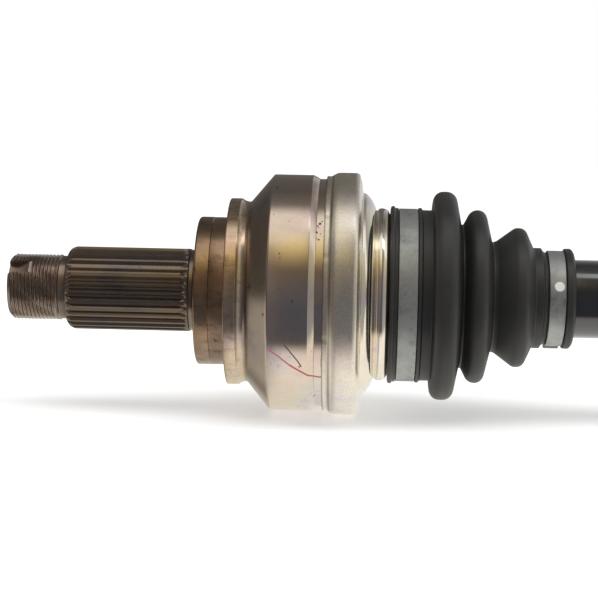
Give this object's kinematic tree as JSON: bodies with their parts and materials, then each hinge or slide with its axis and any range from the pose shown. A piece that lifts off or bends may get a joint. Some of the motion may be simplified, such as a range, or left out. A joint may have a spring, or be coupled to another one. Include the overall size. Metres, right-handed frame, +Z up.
{
  "type": "drive shaft",
  "caption": "Drive shaft with a splined wheel stub on a fixed ball joint, a bar, and a plunging ball joint with a lobed bolt flange, both under ribbed rubber boots.",
  "frame": {"origin": "on the shaft axis, in the plane of the shoulder that meets the wheel hub", "axes": "+X along the shaft from the wheel stub to the inner flange, +Z up as it lies on its can and flange lobes, +Y away from the viewer of the picture"},
  "size_m": [0.6, 0.112, 0.0994],
  "materials": {
    "forged_steel": "turned, heat tinted",
    "passivated_sheet": "bright, yellowish",
    "seal": "matte",
    "hardened_steel": "ground",
    "ball_steel": "polished",
    "spring_steel": "oiled",
    "boot_rubber": "matte",
    "clamp_zinc": "dull zinc",
    "black_paint": "gloss black"
  },
  "bodies": {
    "bar": {"bar_shaft": "black_paint", "outer_inner_race": "hardened_steel", "outer_circlip": "spring_steel", "outer_boot_small_clamp": "clamp_zinc", "inner_race": "hardened_steel", "inner_circlip": "spring_steel", "inner_boot_small_clamp": "clamp_zinc"},
    "outer_lower_ball": {"outer_ball_4": "ball_steel"},
    "outer_cage": {"outer_cage": "hardened_steel", "outer_ball_2": "ball_steel", "outer_ball_3": "ball_steel", "outer_ball_5": "ball_steel", "outer_ball_6": "ball_steel"},
    "outer_upper_ball": {"outer_ball_1": "ball_steel"},
    "outer_housing": {"outer_joint_housing": "forged_steel", "outer_can": "passivated_sheet", "outer_seal_ring": "seal", "outer_boot": "boot_rubber", "outer_boot_large_clamp": "clamp_zinc"},
    "inner_lower_ball": {"inner_ball_4": "ball_steel"},
    "inner_cage": {"inner_cage": "hardened_steel", "inner_ball_2": "ball_steel", "inner_ball_3": "ball_steel", "inner_ball_5": "ball_steel", "inner_ball_6": "ball_steel"},
    "inner_upper_ball": {"inner_ball_1": "ball_steel"},
    "inner_boot": {"inner_boot": "boot_rubber"},
    "inner_housing": {"inner_joint_housing": "forged_steel", "inner_end_cover": "passivated_sheet", "inner_stop_ring": "spring_steel", "inner_boot_large_clamp": "clamp_zinc"}
  },
  "joints": [
    {"name": "outer_bend_half", "type": "hinge", "parent": "bar", "child": "outer_lower_ball", "pos_m": [0.046, 0, 0], "axis": [0, 1, 0], "range_deg": [-7.5, 7.5], "deforming": ["outer_boot"]},
    {"name": "outer_steer", "type": "hinge", "parent": "outer_lower_ball", "child": "outer_cage", "pos_m": [0.046, 0, 0], "axis": [0, 0, 1], "range_deg": [-7.5, 7.5], "deforming": ["outer_boot"]},
    {"name": "outer_steer_half", "type": "hinge", "parent": "outer_cage", "child": "outer_upper_ball", "pos_m": [0.046, 0, 0], "axis": [0, 0, 1], "range_deg": [-7.5, 7.5], "deforming": ["outer_boot"]},
    {"name": "outer_bend", "type": "hinge", "parent": "outer_upper_ball", "child": "outer_housing", "pos_m": [0.046, 0, 0], "axis": [0, 1, 0], "range_deg": [-7.5, 7.5], "deforming": ["outer_boot"]},
    {"name": "inner_bend_half", "type": "hinge", "parent": "bar", "child": "inner_lower_ball", "pos_m": [0.4769, 0, 0], "axis": [0, 1, 0], "range_deg": [-6, 6], "deforming": ["inner_boot"]},
    {"name": "inner_steer", "type": "hinge", "parent": "inner_lower_ball", "child": "inner_cage", "pos_m": [0.4769, 0, 0], "axis": [0, 0, 1], "range_deg": [-6, 6], "deforming": ["inner_boot"]},
    {"name": "inner_steer_half", "type": "hinge", "parent": "inner_cage", "child": "inner_upper_ball", "pos_m": [0.4769, 0, 0], "axis": [0, 0, 1], "range_deg": [-6, 6], "deforming": ["inner_boot"]},
    {"name": "inner_bend", "type": "hinge", "parent": "inner_upper_ball", "child": "inner_boot", "pos_m": [0.4769, 0, 0], "axis": [0, 1, 0], "range_deg": [-6, 6], "deforming": ["inner_boot"]},
    {"name": "inner_plunge", "type": "slide", "parent": "inner_boot", "child": "inner_housing", "axis": [1, 0, 0], "range_m": [-0.018, 0.018], "deforming": ["inner_boot"]}
  ],
  "couplings": [
    {"joint": "outer_bend_half", "follows": "outer_bend", "ratio": 1},
    {"joint": "outer_steer_half", "follows": "outer_steer", "ratio": 1},
    {"joint": "inner_bend_half", "follows": "inner_bend", "ratio": 1},
    {"joint": "inner_steer_half", "follows": "inner_steer", "ratio": 1}
  ]
}
